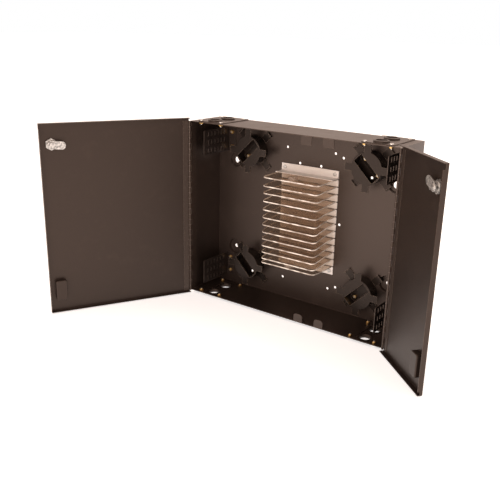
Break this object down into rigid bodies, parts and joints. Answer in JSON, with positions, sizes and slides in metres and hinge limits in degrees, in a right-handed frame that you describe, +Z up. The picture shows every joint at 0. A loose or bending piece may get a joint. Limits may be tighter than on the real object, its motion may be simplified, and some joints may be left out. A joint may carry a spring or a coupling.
{
  "type": "fiber termination box",
  "caption": "Wall-mount steel box for fiber terminations: two locking hinged doors, slack spools, tie brackets, grommeted cable entries and a rack of splice sheets.",
  "frame": {"origin": "centre of the four wall fixings, on the wall plane that the pressed dimples rest on", "axes": "+X to the viewer's right along the box, +Y into the wall, +Z up"},
  "size_m": [0.7987, 0.4106, 0.4187],
  "materials": {
    "cabinet_paint": "fine-textured dark bronze powder coat",
    "bracket_paint": "dark powder coat",
    "door_paint": "fine-textured dark bronze powder coat",
    "hinge_paint": "dark bronze powder coat, worn at the knuckles",
    "pin_steel": "bright drawn steel",
    "lock_nickel": "bright nickel plate",
    "grommet_rubber": "black rubber",
    "spool_black": "black moulded plastic",
    "brass": "bright yellow passivate",
    "zinc_steel": "zinc plate",
    "organizer_aluminium": "matt mill aluminium",
    "smoke_sheet": "clear smoke-tinted acrylic with polished edges"
  },
  "bodies": {
    "cabinet": {"cabinet_shell": "cabinet_paint", "left_side_panel": "cabinet_paint", "right_side_panel": "cabinet_paint", "top_strike_tabs": "cabinet_paint", "bottom_strike_tabs": "cabinet_paint", "top_left_entry_plate": "cabinet_paint", "top_right_entry_plate": "cabinet_paint", "bottom_left_entry_plate": "cabinet_paint", "bottom_right_entry_plate": "cabinet_paint", "top_left_tie_bracket": "bracket_paint", "top_right_tie_bracket": "bracket_paint", "bottom_left_tie_bracket": "bracket_paint", "bottom_right_tie_bracket": "bracket_paint", "left_hinge_frame_leaf": "hinge_paint", "right_hinge_frame_leaf": "hinge_paint", "left_hinge_pin": "pin_steel", "right_hinge_pin": "pin_steel", "top_left_grommets": "grommet_rubber", "top_right_grommets": "grommet_rubber", "bottom_left_grommets": "grommet_rubber", "bottom_right_grommets": "grommet_rubber", "top_left_slack_spool": "spool_black", "top_right_slack_spool": "spool_black", "bottom_left_slack_spool": "spool_black", "bottom_right_slack_spool": "spool_black", "brass_nuts": "brass", "entry_screws": "zinc_steel", "weld_studs": "zinc_steel", "organizer_screws": "zinc_steel", "organizer_back_plate": "organizer_aluminium", "organizer_top_bracket": "organizer_aluminium", "organizer_sheet_01": "smoke_sheet", "organizer_sheet_02": "smoke_sheet", "organizer_sheet_03": "smoke_sheet", "organizer_sheet_04": "smoke_sheet", "organizer_sheet_05": "smoke_sheet", "organizer_sheet_06": "smoke_sheet", "organizer_sheet_07": "smoke_sheet", "organizer_sheet_08": "smoke_sheet", "organizer_sheet_09": "smoke_sheet", "organizer_sheet_10": "smoke_sheet", "organizer_sheet_11": "smoke_sheet", "organizer_sheet_12": "smoke_sheet", "organizer_sheet_13": "smoke_sheet"},
    "left_door": {"left_door_pan": "door_paint", "left_hinge_door_leaf": "hinge_paint", "left_finger_pull_cup": "door_paint", "left_lock_housing": "lock_nickel", "left_lock_nut": "lock_nickel"},
    "left_lock": {"left_lock_plug": "lock_nickel", "left_lock_cam": "lock_nickel", "left_lock_cam_bolt": "lock_nickel"},
    "right_door": {"right_door_pan": "door_paint", "right_hinge_door_leaf": "hinge_paint", "right_finger_pull_cup": "door_paint", "right_lock_housing": "lock_nickel", "right_lock_nut": "lock_nickel"},
    "right_lock": {"right_lock_plug": "lock_nickel", "right_lock_cam": "lock_nickel", "right_lock_cam_bolt": "lock_nickel"}
  },
  "joints": [
    {"name": "left_door_hinge", "type": "hinge", "parent": "cabinet", "child": "left_door", "pos_m": [-0.254, -0.11705, -0.004], "axis": [0, 0, 1], "range_deg": [-61.9, 118.1]},
    {"name": "left_lock_turn", "type": "hinge", "parent": "left_door", "child": "left_lock", "pos_m": [-0.39209, -0.38873, 0.1623], "axis": [0.8821, -0.471, 0], "range_deg": [0, 90]},
    {"name": "right_door_hinge", "type": "hinge", "parent": "cabinet", "child": "right_door", "pos_m": [0.254, -0.11705, -0.004], "axis": [0, 0, -1], "range_deg": [-42.2, 137.8]},
    {"name": "right_lock_turn", "type": "hinge", "parent": "right_door", "child": "right_lock", "pos_m": [0.36269, -0.22391, 0.1623], "axis": [0.6717, 0.7408, 0], "range_deg": [-27, 63]}
  ]
}
